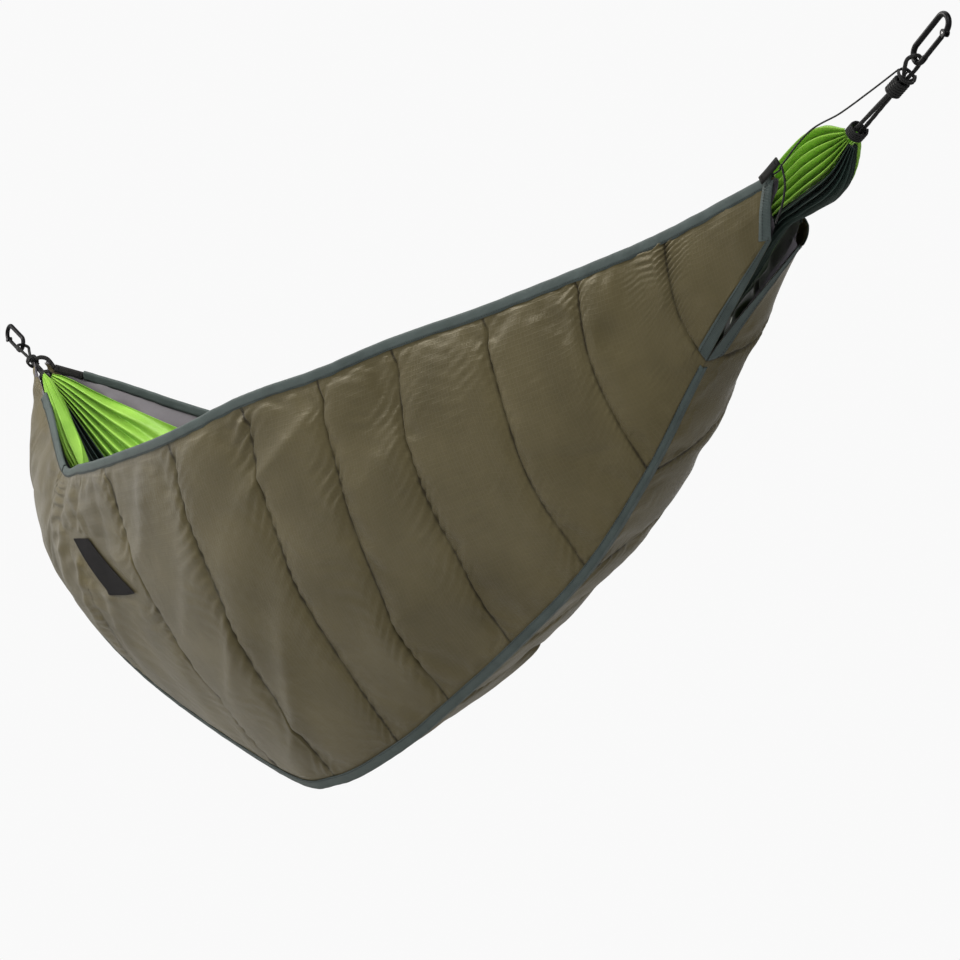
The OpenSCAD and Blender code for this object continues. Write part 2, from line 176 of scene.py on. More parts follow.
def woven(name, dark, light, thread=0.0012, grid=0.0, rough=(0.4, 0.6), sheen=0.03, specular=0.3,
          depth=0.0004, cloudy=0.12, gloss=(1, 1, 1), seams=False):
    """Fabric: threads both ways, cloudy colour, fine crumples, and a ripstop grid and painted shade along the
    seams if asked.
    """
    p = Paint(name)
    stops = [(0.2, dark), (0.75, light)]
    weave = p.maths("MULTIPLY", p.lines(thread, "X"), p.lines(thread, "Y"))
    cloud = p.noise(cloudy, 4)
    crumple = p.noise(0.018, 5)
    tone = p.maths("ADD", p.maths("MULTIPLY", cloud, 0.75), p.maths("MULTIPLY", weave, 0.12))
    height = p.maths("ADD", p.maths("MULTIPLY", weave, 0.35), p.maths("MULTIPLY", crumple, 2.2))
    if grid:
        both = p.maths("MAXIMUM", p.lines(grid, "X"), p.lines(grid, "Y"))
        rib = p.maths("POWER", both, 9.0)
        tone = p.maths("ADD", tone, p.maths("MULTIPLY", rib, 0.06))
        height = p.maths("ADD", height, p.maths("MULTIPLY", rib, 0.3))
    # Painted shade: the colour darkens along the seams, standing in for the shadow in the needle crease
    if seams:
        seam = p.add("ShaderNodeAttribute", attribute_name="seam").outputs["Fac"]
        tone = p.maths("SUBTRACT", tone, p.maths("MULTIPLY", seam, SEAM_SHADE_STRENGTH))
        stops.insert(0, (0.0, SEAM_SHADE))
    p.colour(tone, *stops)
    p.roughness(p.noise(0.05, 4), *rough)
    p.bump(height, depth)
    return p.set(Sheen_Weight=sheen, Sheen_Roughness=0.4, Specular_IOR_Level=specular,
                 Specular_Tint=(*gloss, 1))


def ribbed(name, dark, light, rib=0.0022, specular=0.25):
    """Grosgrain tape or webbing: ribs across its length and a cloudy, worn tone."""
    p = Paint(name)
    ribs = p.lines(rib, "X")
    cloud = p.noise(0.03, 4)
    tone = p.maths("ADD", p.maths("MULTIPLY", cloud, 0.7), p.maths("MULTIPLY", ribs, 0.25))
    p.colour(tone, (0.2, dark), (0.8, light))
    p.roughness(cloud, 0.5, 0.7)
    p.bump(p.maths("ADD", ribs, p.maths("MULTIPLY", p.noise(0.008, 3), 0.6)), 0.0004)
    return p.set(Sheen_Weight=0.04, Specular_IOR_Level=specular)


def braided(name, dark, light, pitch):
    """Braided cord: strands cross both ways round it."""
    p = Paint(name)
    left = p.lines(pitch, "X", p.turned(math.radians(45)))
    right = p.lines(pitch, "X", p.turned(math.radians(-45)))
    strands = p.maths("MAXIMUM", left, right)
    tone = p.maths("ADD", p.maths("MULTIPLY", strands, 0.5), p.maths("MULTIPLY", p.noise(0.012, 3), 0.5))
    p.colour(tone, (0.25, dark), (0.9, light))
    p.roughness(strands, 0.5, 0.7)
    p.bump(strands, 0.0006)
    return p.set(Sheen_Weight=0.03, Specular_IOR_Level=0.2)


def metal(name, dark, light, rough, scratch=0.004):
    """Anodised or bare metal, brushed and worn in spots. Reads the place, as CAD nodes have no UV map."""
    p = Paint(name)
    # The brushing's streaks are ten times longer along X than across it
    long = p.add("ShaderNodeMapping", {"Vector": p.place, "Scale": (40, 400, 400)}).outputs[0]
    brushed = p.add("ShaderNodeTexNoise", {"Vector": long, "Scale": 4.0, "Detail": 4.0}).outputs[0]
    wear = p.noise(scratch, 5)
    p.colour(p.maths("MULTIPLY", wear, brushed), (0.1, dark), (0.4, dark), (0.62, light))
    p.roughness(brushed, *rough)
    p.bump(brushed, 0.00001)
    return p.set(Metallic=0.85, Specular_IOR_Level=0.5)


def make_materials():
    return {
        "shell": woven("shell", (0.05, 0.041, 0.018), (0.108, 0.09, 0.045), grid=0.007, rough=(0.34, 0.46),
                       specular=0.36, gloss=(1.0, 0.88, 0.6), seams=True),
        "lining": woven("lining", (0.085, 0.078, 0.092), (0.15, 0.14, 0.158), rough=(0.5, 0.65)),
        "batt": woven("batt", (0.62, 0.6, 0.56), (0.85, 0.84, 0.8), thread=0.004, rough=(0.9, 1.0),
                      depth=0.002),
        "binding": ribbed("binding", (0.032, 0.046, 0.044), (0.076, 0.1, 0.097)),
        "patch": woven("patch", (0.004, 0.0035, 0.004), (0.011, 0.0095, 0.011), thread=0.0009,
                       rough=(0.7, 0.9), sheen=0.01, specular=0.08),
        "webbing": ribbed("webbing", (0.005, 0.005, 0.005), (0.014, 0.014, 0.014), rib=0.0018, specular=0.1),
        "thread": braided("thread", (0.008, 0.006, 0.003), (0.028, 0.022, 0.012), pitch=0.001),
        "dark_thread": braided("dark_thread", (0.01, 0.01, 0.01), (0.04, 0.04, 0.042), pitch=0.001),
        "shock_cord": braided("shock_cord", (0.005, 0.005, 0.005), (0.022, 0.022, 0.022), pitch=0.002),
        "rope": braided("rope", (0.005, 0.005, 0.005), (0.016, 0.016, 0.016), pitch=0.004),
        "lime": woven("lime", (0.16, 0.36, 0.028), (0.36, 0.64, 0.09), grid=0.005, rough=(0.38, 0.55)),
        "green": woven("green", (0.008, 0.018, 0.014), (0.022, 0.042, 0.035), grid=0.005, rough=(0.38, 0.55)),
        "anodised": metal("anodised", (0.009, 0.009, 0.01), (0.035, 0.035, 0.037), (0.35, 0.5),
                          scratch=0.012),
        "steel": metal("steel", (0.32, 0.32, 0.33), (0.6, 0.6, 0.6), (0.2, 0.4)),
        "floor": woven("floor", (0.66, 0.66, 0.655), (0.72, 0.72, 0.715), thread=0.5, rough=(0.7, 0.9),
                       cloudy=3.0),
    }


# ---------------------------------------------------------------- mesh making

def grid(name, points, paint, slot, closed=False, flip=False):
    """A piece from a (rows, columns, 3) array of points. closed makes it a tube of rings with end faces."""
    rows, cols = points.shape[:2]
    ring = points[:, list(range(cols)) + [0]] if closed else points
    along = np.insert(np.cumsum(np.linalg.norm(np.diff(ring, axis=0), axis=2), axis=0), 0, 0, axis=0)
    across = np.insert(np.cumsum(np.linalg.norm(np.diff(ring, axis=1), axis=2), axis=1), 0, 0, axis=1)
    uv = np.stack([along.mean(axis=1, keepdims=True) + 0 * along, across], -1)
    i, j = np.meshgrid(np.arange(rows - 1), np.arange(ring.shape[1] - 1), indexing="ij")
    k = (j + 1) % cols
    faces = np.stack([i * cols + j, i * cols + k, (i + 1) * cols + k, (i + 1) * cols + j], -1).reshape(-1, 4)
    spots = np.stack([uv[i, j], uv[i, j + 1], uv[i + 1, j + 1], uv[i + 1, j]], 2).reshape(-1, 4, 2)
    if flip:
        faces, spots = faces[:, ::-1], spots[:, ::-1]
    faces, spots = faces.tolist(), spots.reshape(-1, 2).tolist()
    if closed:
        ends = [list(range(cols - 1, -1, -1)), list(range((rows - 1) * cols, rows * cols))]
        faces += [e[::-1] for e in ends] if flip else ends
        spots += [[0.0, 0.0]] * (2 * cols)
    return from_faces(name, points.reshape(-1, 3), faces, spots, paint)


def from_faces(name, points, faces, spots, paint):
    """A piece from points and faces. spots holds the UV of each corner of each face in turn."""
    mesh = bpy.data.meshes.new(name)
    mesh.from_pydata(np.asarray(points).tolist(), [], faces)
    layer = mesh.uv_layers.new(name="UVMap")
    layer.data.foreach_set("uv", np.asarray(spots, float).ravel())
    mesh.materials.append(PAINTS[paint])
    mesh.shade_smooth()
    obj = bpy.data.objects.new(name, mesh)
    bpy.context.scene.collection.objects.link(obj)
    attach(obj, "sling")
    return obj


def points_of(obj):
    flat = np.zeros(len(obj.data.vertices) * 3)
    obj.data.vertices.foreach_get("co", flat)
    return flat.reshape(-1, 3)


def move_points(obj, points):
    obj.data.vertices.foreach_set("co", points.ravel())
    obj.data.update()


def thicken(obj, thickness):
    """Real thickness for a single layer of cloth, then a smoother surface."""
    solid = obj.modifiers.new("thickness", "SOLIDIFY")
    solid.thickness = thickness
    solid.offset = -1
    smooth(obj)


def smooth(obj):
    mod = obj.modifiers.new("smooth", "SUBSURF")
    mod.levels = mod.render_levels = 1


WAVES = 7


def field(points, size, seed):
    """Smooth random field, mostly between -1 and 1, with features of about that size in metres."""
    rng = np.random.default_rng(seed)
    total = np.zeros(points.shape[:-1])
    for _ in range(WAVES):
        wave = rng.normal(size=3)
        wave *= TURN / size / np.linalg.norm(wave) * rng.uniform(0.6, 1.4)
        total += np.sin(points @ wave + rng.uniform(0, TURN))
    return total / math.sqrt(WAVES / 2) / 1.6


def unit(v):
    return v / np.maximum(np.linalg.norm(v, axis=-1, keepdims=True), TINY)


# ---------------------------------------------------------------- the quilt's surface, as part.scad has it

# Top edges and keel at the foot, at each quilting seam and at the head, in millimetres
near_rim = MM * np.array([
    [140, -6, -84], [300, -45, -200], [540, -125, -326], [750, -190, -352], [960, -245, -368],
    [1350, -316, -376], [1580, -305, -345], [1765, -272, -324], [1910, -228, -294],
    [2092, -180, -268], [2265, -132, -237], [2420, -84, -203], [2633, -45, -152]])
far_rim = MM * np.array([
    [150, 8, -80], [290, 90, -130], [520, 190, -212], [750, 255, -268], [960, 290, -295],
    [1350, 322, -330], [1580, 305, -335], [1765, 270, -325], [1910, 228, -308],
    [2092, 180, -288], [2265, 132, -262], [2420, 86, -230], [2562, 45, -181]])
keel = MM * np.array([
    [150, 0, -120], [165, 0, -330], [310, 0, -520], [620, 0, -695], [1150, 0, -885],
    [1340, 0, -905], [1545, 0, -860], [1700, 0, -803], [1885, 0, -728],
    [2090, 0, -630], [2255, 0, -505], [2400, 0, -365]])
near_mouth = MM * np.array([2588, -20, -229])
far_mouth = MM * np.array([2574, 32, -231])
# How far each half stands out from the straight line between its top edge and the keel
near_bulge = MM * np.array([8, 30, 42, 46, 48, 48, 46, 45, 42, 36, 30, 20, 4])
far_bulge = MM * np.array([8, 55, 80, 90, 95, 95, 90, 85, 80, 72, 60, 42, 8])
SEAMS = 12
FIRST_SEAM = 3            # the first seam that shows, counted from the foot
FIT = 0.3 * MM            # gap between sewn layers
LOFT = 24 * MM            # from the outer face to the lining
PRESSED = 0.12            # share of the loft left under the tape
QUILT_LENGTH = 2.45       # metres for one unit of s
PANEL_DEPTH = 0.62        # metres for one unit of v
CORNER = 2 / SEAMS        # where the near top edge turns the corner at the foot
MOUTH = 11 / SEAMS        # where the keel seam ends and the mouth starts
TIP = 0.05                # where the foot end's tape starts


def spline(points, t):
    """Catmull-Rom curve through the points, t from 0 to 1."""
    p = np.asarray(points, float)
    p = p[:, None] if p.ndim == 1 else p
    last = len(p) - 1
    ext = np.vstack([2 * p[0] - p[1], p, 2 * p[-1] - p[-2]])
    f = np.clip(np.asarray(t, float), 0, 1) * last
    i = np.minimum(f.astype(int), last - 1)
    u = (f - i)[..., None]
    a, b, c, d = ext[i], ext[i + 1], ext[i + 2], ext[i + 3]
    return (2 * b + (c - a) * u + (2 * a - 5 * b + 4 * c - d) * u ** 2 + (3 * b - a - 3 * c + d) * u ** 3) / 2


def rim_at(side, s):
    return spline(near_rim if side == NEAR else far_rim, s)


def keel_at(side, s):
    """The keel, kept on its own side of the middle and open at the mouth."""
    p = spline(np.vstack([keel, near_mouth if side == NEAR else far_mouth]), s)
    p[..., 1] = side * np.maximum(side * p[..., 1], FIT / 2)
    return p


def out_at(side, s):
    """Outward direction, square to the line from the top edge to the keel."""
    c = keel_at(side, s) - rim_at(side, s)
    return unit(np.stack([0 * c[..., 0], side * abs(c[..., 2]), -abs(c[..., 1])], -1))


def skin(side, s, v):
    """Point on the outer face."""
    s, v = np.broadcast_arrays(np.asarray(s, float), np.asarray(v, float))
    bulge = spline(near_bulge if side == NEAR else far_bulge, s)
    w = v[..., None]
    return rim_at(side, s) * (1 - w) + keel_at(side, s) * w + out_at(side, s) * bulge * np.sin(math.pi * w)


def press(v):
    """Share of the loft: pressed flat at both edges, full from a tenth of the way in."""
    edge = np.minimum(v, 1 - v)
    return PRESSED + (1 - PRESSED) * np.clip((edge - 0.03) / 0.07, 0, 1)


def inset(side, s, v, depth):
    """Point at a depth behind the outer face, pressed thin at the bound edges."""
    p = skin(side, s, v)
    m = np.minimum(1, abs(p[..., 1]) / 0.12)
    k = press(v) * depth
    return p + np.stack([0 * k, -side * k * np.maximum(m, 0.02), (1 - m) * k / 2], -1)


def seam_strength(index, v):
    """How strongly seam number index pulls the layers together. The first one shows only low down."""
    if index < FIRST_SEAM or index == SEAMS:
        return np.zeros_like(v)
    return np.clip((v - 0.5) / 0.2, 0, 1) * 0.6 if index == FIRST_SEAM else np.ones_like(v)


def pinch(s, v, width=0.006):
    """1 on a quilting seam, falling to 0 within a few centimetres of it."""
    total = np.zeros(np.broadcast(s, v).shape)
    for index in range(SEAMS + 1):
        gap = abs(s - index / SEAMS) * QUILT_LENGTH
        total = np.maximum(total, seam_strength(index, v) * np.exp(-(gap / width) ** 0.9))
    return total


# ---------------------------------------------------------------- quilt halves

ROWS = 18                 # mesh rows in one channel
COLUMNS = 96

# Heights of the outer fabric's relief
SLANTED_FOLD = 0.012
CORNER_FAN = 0.0042
PATCH_RIPPLE = 0.0022
FOOT_RIPPLE = 0.004
PUCKER = 0.0062

# What the cloth simulation gets
SIM_FRAMES = 20
PRESSURE = 3.0
SPARE_CLOTH = 0.045       # how much larger the fabric is than the surface that it is sewn to


def wavy(s, v):
    """Seams wander a little and kink just below the tape."""
    kink = 0.0035 * np.exp(-((v - 0.07) / 0.035) ** 2)
    drift = 0.0016 * np.sin(9 * v + 40 * s) * np.sin(math.pi * v)
    return np.clip(s + (kink + drift) * np.sin(math.pi * s), 0, 1)


def slanted_folds(points):
    """Long folds across the channels, 0.17 m apart, with sharp crests that come and go."""
    slant = points @ (np.array([0.6, 0.0, -0.8]) * TURN / 0.17)
    sway = slant / 2 + 1.2 * field(points, 0.5, 3)
    crest = (1 - abs(np.sin(sway))) ** 2
    share = np.clip(0.5 + 0.7 * field(points, 0.35, 4), 0.1, 1)
    return SLANTED_FOLD * crest * share + 0.002 * np.sin(2 * sway)


def corner_fan(side, points):
    """Creases that fan out of the corner where the top edge turns down to the foot."""
    arm = points - rim_at(side, np.array(CORNER))
    reach = np.linalg.norm(arm, axis=-1)
    angle = np.arctan2(arm[..., 2], arm[..., 0])
    return CORNER_FAN * np.exp(-reach / 0.22) * np.sin(26 * angle + 3 * field(points, 0.3, 5))


def patch_ripples(side, points):
    """Level ripples, 34 mm apart, in the cloth below the patch."""
    spot = skin(side, np.array(0.27), np.array(0.45))
    nearness = np.exp(-np.sum((points - spot) ** 2, -1) / 0.2 ** 2)
    return PATCH_RIPPLE * nearness * np.sin(points[..., 2] * TURN / 0.034 + 3.5 * field(points, 0.25, 6))


def foot_ripples(points, s):
    """Level ripples, 60 mm apart, in the last stretch at the foot."""
    phase = points[..., 2] * TURN / 0.06 + 3 * field(points, 0.2, 7)
    return FOOT_RIPPLE * np.clip((0.2 - s) / 0.15, 0, 1) * np.sin(phase)


def crumples(side, points, s, v):
    """All the relief of the loose outer fabric, in metres outwards, lower where the halves come close."""
    middle = np.clip(np.minimum(v, 1 - v) / 0.12, 0, 1) * (1 - on_patch(side, s, v))
    room = 0.3 + 0.7 * np.clip(abs(points[..., 1]) / 0.12, 0, 1)
    loose = slanted_folds(points) + corner_fan(side, points)
    loose = loose + patch_ripples(side, points) + foot_ripples(points, s)
    return middle * room * loose + room * puckers(s, v, points)


# The patch's corners as (s, v): two at the top end, then two at the low end
PATCH = np.array([[0.235, 0.300], [0.267, 0.264], [0.316, 0.400], [0.279, 0.466]])


def on_patch(side, s, v):
    """1 where the sewn-on patch holds the near shell flat, falling to 0 round it."""
    if side == FAR:
        return 0 * s
    start, stop = PATCH[:2].mean(axis=0), PATCH[2:].mean(axis=0)
    axis = stop - start
    along = ((s - start[0]) * axis[0] + (v - start[1]) * axis[1]) / (axis @ axis)
    aside = (s - start[0] - along * axis[0]) / 0.03
    reach = np.maximum(abs(along - 0.5) / 0.62, abs(aside) / 1.1)
    return np.clip((1.25 - reach) / 0.25, 0, 1)


def puckers(s, v, points):
    """Short sharp gathers of the cloth beside each seam, longer on the side towards the foot."""
    total = np.zeros(s.shape)
    for index in range(FIRST_SEAM, SEAMS):
        gap = (s - index / SEAMS) * QUILT_LENGTH
        patchy = 0.55 + 0.75 * field(points, 0.16, 40 + index)
        reach = np.where(gap < 0, 0.05, 0.016) * (1 + 0.6 * field(points, 0.07, 60 + index))
        fall = np.exp(-abs(gap) / np.maximum(reach, 0.006)) * seam_strength(index, v)
        phase = v * PANEL_DEPTH * TURN / 0.024 + 2.2 * field(points, 0.09, 80 + index) + 22 * gap / 0.1
        total += PUCKER * fall * np.clip(patchy, 0.1, 1) * np.sin(phase)
    return total * np.clip(np.minimum(v, 1 - v) / 0.05, 0, 1)


def puff(obj, held, limit, out, inward):
    """Cloth simulation: the loose fabric between the held seams swells and puckers, by no more than limit,
    and by no more than inward towards the filling."""
    start = points_of(obj)
    group = obj.vertex_groups.new(name="held")
    group.add([int(i) for i in held], 1.0, "REPLACE")
    cloth = obj.modifiers.new("puff", "CLOTH")
    settings = cloth.settings
    settings.vertex_group_mass = "held"
    settings.quality = 6
    settings.mass = 0.15
    settings.tension_stiffness = settings.compression_stiffness = 20
    settings.shear_stiffness = 6
    settings.bending_stiffness = 0.02
    settings.air_damping = 3
    settings.shrink_min = settings.shrink_max = -SPARE_CLOTH
    settings.use_pressure = True
    settings.uniform_pressure_force = PRESSURE
    settings.effector_weights.gravity = 0
    for number in range(1, SIM_FRAMES + 1):
        bpy.context.scene.frame_set(number)
    swollen = obj.evaluated_get(bpy.context.evaluated_depsgraph_get()).to_mesh()
    flat = np.zeros(len(swollen.vertices) * 3)
    swollen.vertices.foreach_get("co", flat)
    shift = flat.reshape(-1, 3) - start
    length = np.linalg.norm(shift, axis=1, keepdims=True)
    shift *= np.tanh(length / limit) * limit / np.maximum(length, TINY)
    sunk = np.sum(shift * out, axis=1, keepdims=True)
    shift -= out * np.minimum(sunk + inward, 0)
    obj.modifiers.remove(cloth)
    obj.vertex_groups.clear()
    bpy.context.scene.frame_set(1)
    move_points(obj, start + shift)


def half_grid():
    """s and v of a half's mesh, with rows crowded at the seams and columns at both edges."""
    t = np.linspace(0, 1, ROWS * SEAMS + 1)[:, None]
    s = t - 0.6 * np.sin(TURN * SEAMS * t) / TURN / SEAMS
    v = np.linspace(0, 1, COLUMNS + 1)[None, :]
    v = v - 0.06 * np.sin(TURN * v) / 1.2
    return np.broadcast_arrays(s, v)


def on_row(s, index):
    """True on the mesh row that lies on seam number index."""
    return abs(s - index / SEAMS) < 1e-6


def quilt_shell(side, name, node):
    s, v = half_grid()
    bent = wavy(s, v)
    pinched = pinch(s, v)
    sunk, proud = 4.5 * MM, 1.2 * MM
    points = inset(side, bent, v, sunk * pinched - proud * (1 - pinched))
    out = out_at(side, bent)
    line = sum(on_row(s, index) * seam_strength(index, v) for index in range(FIRST_SEAM, SEAMS))
    points = points + out * (crumples(side, points, s, v) * (1 - 0.85 * line))[..., None]
    obj = grid(name, points, "shell", "shell", flip=side == FAR)
    number = np.arange(s.size).reshape(s.shape)
    held = (v < 0.03) | (v > 0.97) | (s < 0.001) | (s > 0.99) | (on_patch(side, s, v) > 0.9)
    held |= (s > MOUTH - 0.02) & (v > 0.88)
    for index in range(SEAMS + 1):
        held |= on_row(s, index) & (seam_strength(index, v) > 0.55)
    puff(obj, number[held], 4 * MM, out.reshape(-1, 3), 0.6 * MM)
    # Painted shade: how strongly the shell's colour darkens in each seam's crease
    seam = obj.data.attributes.new("seam", "FLOAT", "POINT")
    seam.data.foreach_set("value", (line * (0.75 + 0.25 * field(points, 0.03, 90))).ravel())
    smooth(obj)
    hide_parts(node)
    return obj


def quilt_lining(side, name, node):
    s, v = half_grid()
    s, v = s[:, ::2], v[:, ::2]
    bent = wavy(s, v)
    pinched = pinch(s, v)
    gap, drawn = 0.5 * MM, 9 * MM
    points = inset(side, bent, v, LOFT - gap - drawn * pinched)
    ripples = 0.004 * field(points, 0.11, 11) + 0.003 * field(points, 0.05, 12)
    edge = np.clip(np.minimum(v, 1 - v) / 0.1, 0, 1)
    points = points - out_at(side, bent) * (ripples * edge * (1 - pinched))[..., None]
    obj = grid(name, points, "lining", "lining", flip=side == NEAR)
    smooth(obj)
    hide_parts(node)


def quilt_batt(side, name, node):
    """Fibre filling between the layers, thin along every seam."""
    s, v = half_grid()
    s, v = s[ROWS:-4:2, 8:-8:2], v[ROWS:-4:2, 8:-8:2]
    pinched = pinch(s, v, 0.03)
    bent = wavy(s, v)
    clear, drawn = 9 * MM, 2.5 * MM
    outer = inset(side, bent, v, clear + drawn * pinched)
    inner = inset(side, bent, v, LOFT - clear - drawn * pinched)
    ring = np.concatenate([outer, inner[:, ::-1]], axis=1)
    obj = grid(name, ring, "batt", "insulation", closed=True, flip=side == FAR)
    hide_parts(node)


# ---------------------------------------------------------------- stitches

# A stitch has four rings of four points: (share of the way along it, height and width, in thread radii)
STITCH_RINGS = ((0, -0.4, 0.5), (0.3, 0.7, 1), (0.7, 0.7, 1), (1, -0.4, 0.5))
STITCH_RING = ((-1, 0), (0, 1), (1, 0), (0, -0.6))


def stitches(name, runs, length, gap, radius, paint):
    """Rows of small thread stitches. Each run is (points along the row, outward directions)."""
    verts, faces = [], []
    for points, outs in runs:
        steps = np.insert(np.cumsum(np.linalg.norm(np.diff(points, axis=0), axis=1)), 0, 0)
        starts = np.arange(gap, steps[-1] - length, length + gap)
        for start in starts:
            a, b = (along_row(points, steps, x) for x in (start, start + length))
            out = unit(along_row(outs, steps, start))
            cross = unit(np.cross(b - a, out))
            first = len(verts)
            for share, lift, wide in STITCH_RINGS:
                spot = a * (1 - share) + b * share
                for x, y in STITCH_RING:
                    verts.append(spot + cross * x * radius * wide + out * (lift + y * wide) * radius)
            for ring in range(3):
                for k in range(4):
                    p, q = first + ring * 4 + k, first + ring * 4 + (k + 1) % 4
                    faces.append([p, q, q + 4, p + 4])
            faces.append([first + 3, first + 2, first + 1, first])
            faces.append([first + 12, first + 13, first + 14, first + 15])
    spots = np.zeros((sum(len(f) for f in faces), 2))
    spots[:, 0] = np.arange(len(spots)) * 0.0004
    from_faces(name, np.array(verts), faces, spots, paint)


def along_row(values, steps, x):
    """The row's values at distance x, where steps are the distances of its points."""
    return np.array([np.interp(x, steps, values[:, k]) for k in range(3)])


def quilting_thread(side, shell, name):
    points = points_of(shell).reshape(ROWS * SEAMS + 1, COLUMNS + 1, 3)
    runs = []
    for index in range(FIRST_SEAM, SEAMS):
        top = COLUMNS // 2 if index == FIRST_SEAM else 3
        line = points[index * ROWS, top:COLUMNS - 1]
        runs.append((line, out_at(side, np.full(len(line), index / SEAMS))))
    stitches(name, runs, 5 * MM, 2 * MM, 0.5 * MM, "thread")


# ---------------------------------------------------------------- binding tapes

TAPE_W = 16 * MM
TAPE_T = 1.2 * MM
FOLD = 6 * MM             # room for the shock cord above the pressed edge
STACK = LOFT * PRESSED    # the layers' thickness at that edge


def rim_frame(side, s):
    """Point on a top edge with the directions down into the panel and out from it."""
    p = rim_at(side, s)
    down = unit(skin(side, s, 0.03) - skin(side, s, 0.0))
    run = unit(rim_at(side, np.minimum(1, s + 0.01)) - rim_at(side, np.maximum(0, s - 0.01)))
    out = unit(np.cross(run, down))
    out *= np.where(np.sign(out[..., 1:2]) == side, 1.0, -1.0)
    return p, down, out


def folded(name, side, s, nodes):
    """Tape folded softly over a top edge, with a slightly wavy lower edge. Returns its stitch row."""
    p, down, out = rim_frame(side, s)
    wave = 0.7 * MM * field(p, 0.05, 21) + 0.5 * MM * field(p, 0.02, 22)
    low = TAPE_W - FOLD
    o, i = 0.5 * MM, -STACK - 0.5 * MM       # the tape's inner face, outside and inside the quilt
    profile = [(low, o), (low * 0.5, o + 0.5 * MM), (0, o + 0.6 * MM), (-FOLD * 0.6, o + 0.3 * MM)]
    middle, radius = (o + i) / 2, (o - i) / 2
    for angle in (30, 60, 90, 120, 150):
        a = math.radians(angle)
        profile.append((-FOLD * 0.7 - radius * math.sin(a), middle + radius * math.cos(a)))
    profile += [(-FOLD * 0.6, i - 0.2 * MM), (0, i - 0.3 * MM), (low * 0.5, i - 0.3 * MM), (low, i)]
    flat = np.array(profile)
    turn = unit(np.gradient(flat, axis=0))
    outward = np.stack([-turn[:, 1], turn[:, 0]], 1)
    if outward[0, 1] < 0:
        outward = -outward
    ring = np.vstack([flat + outward * TAPE_T, flat[::-1]])
    rings = p[:, None] + down[:, None] * ring[None, :, :1] + out[:, None] * ring[None, :, 1:]
    sway = np.where(ring[:, 0] > low * 0.8, 1.0, 0.35)
    rings = rings + down[:, None] * (wave[:, None] * sway[None])[..., None]
    obj = grid(name, rings, "binding", "binding", closed=True, flip=side == NEAR)
    if nodes:
        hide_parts(*nodes)
    return p + down * (low - 2.2 * MM) + out * (o + TAPE_T + 0.3 * MM), out


def flat_tape(name, outer, inner, node, side):
    """Flat tape between its outer and inner faces."""
    ring = np.concatenate([outer, inner[:, ::-1]], axis=1)
    obj = grid(name, ring, "binding", "binding", closed=True, flip=side == FAR)
    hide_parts(node)


def keel_tape():
    """Tape bent round the seam that joins the halves. Returns its stitch row."""
    s = np.linspace(0.04, MOUTH - 0.005, 260)
    share = np.linspace(0.976, 1, 4)
    sides = []
    for lift in (FIT + 0.2 * MM, FIT + TAPE_T + 0.6 * MM):
        arms = []
        for side in (NEAR, FAR):
            arm = np.stack([skin(side, s, np.full_like(s, w)) for w in share], 1)
            arm = arm + out_at(side, s)[:, None] * lift
            arm[:, -1] -= np.array([0, 0, 0.6]) * lift
            arms.append(arm)
        arms[0][:, -1, 1] = -lift * 0.5
        arms[1][:, -1, 1] = lift * 0.5
        sides.append(np.concatenate([arms[0], arms[1][:, ::-1]], axis=1))
    wave = 0.5 * MM * field(sides[1], 0.04, 31)
    sides[1] = sides[1] - np.array([0, 0, 1.0]) * abs(wave)[..., None]
    flat_tape("keel_binding", sides[1], sides[0], "keel_tape", NEAR)
    out = out_at(NEAR, s)
    return skin(NEAR, s, np.full_like(s, 0.98)) + out * (FIT + TAPE_T + 1.1 * MM), out


def mouth_tape(side, name, node, shell):
    """Tape on a half's edge where the keel seam is open. Returns its stitch row."""
    s = np.linspace(MOUTH, 1, 50)
    out = np.repeat(out_at(side, s)[:, None], 5, axis=1)
    arm = np.stack([skin(side, s, np.full_like(s, w)) for w in np.linspace(0.9, 1, 5)], 1)
    arm = on_cloth(shell, arm, out)
    outer = arm + out * (FIT + TAPE_T)
    flat_tape(name, outer, arm + out * FIT, node, side)
    return outer[:, 1] + out[:, 0] * 0.4 * MM, out[:, 0]


def head_tape(side, name, node, shell):
    """Tape down a half's head end. Its first row stands a little past the shell. Returns its stitch row."""
    v = np.linspace(0.05, 1, 40)
    edge = skin(side, np.ones_like(v), v)
    lift = np.array([0, side * 1.0, 0])
    across = np.array([-1, -5, -10, -15]) * MM
    rows = np.stack([edge + np.array([x, 0, 0]) for x in across], 1)
    rows = on_cloth(shell, rows, np.broadcast_to(lift, rows.shape))
    rows[:, 0, 0] += 2.5 * MM
    outer = rows + lift * (FIT + TAPE_T)
    flat_tape(name, outer, rows + lift * FIT, node, side)
    return outer[:, 2] + lift * 0.4 * MM, np.tile(lift, (len(v), 1))


def all_tapes(near_cloth, far_cloth):
    """All the binding, and the stitches along it. The CAD has one foot tape for both sides."""
    runs = []
    top = np.linspace(CORNER + 0.004, 0.998, 420)
    foot = np.linspace(TIP, CORNER, 110)
    for side, name, shell in ((NEAR, "near", near_cloth), (FAR, "far", far_cloth)):
        runs.append(folded(f"{name}_top_binding", side, top, [f"{name}_rim_tape"]))
        runs.append(mouth_tape(side, f"{name}_mouth_binding", f"{name}_mouth_tape", shell))
        runs.append(head_tape(side, f"{name}_head_binding", f"{name}_head_tape", shell))
        runs.append(folded(f"{name}_foot_binding", side, foot, ["foot_end_tape"] if side == NEAR else []))
    runs.append(keel_tape())
    stitches("binding_stitches", runs, 3.4 * MM, 1.6 * MM, 0.4 * MM, "dark_thread")


# ---------------------------------------------------------------- patch and webbing

RAY_START = 0.05          # a ray starts this far outside the cloth and ends as far inside


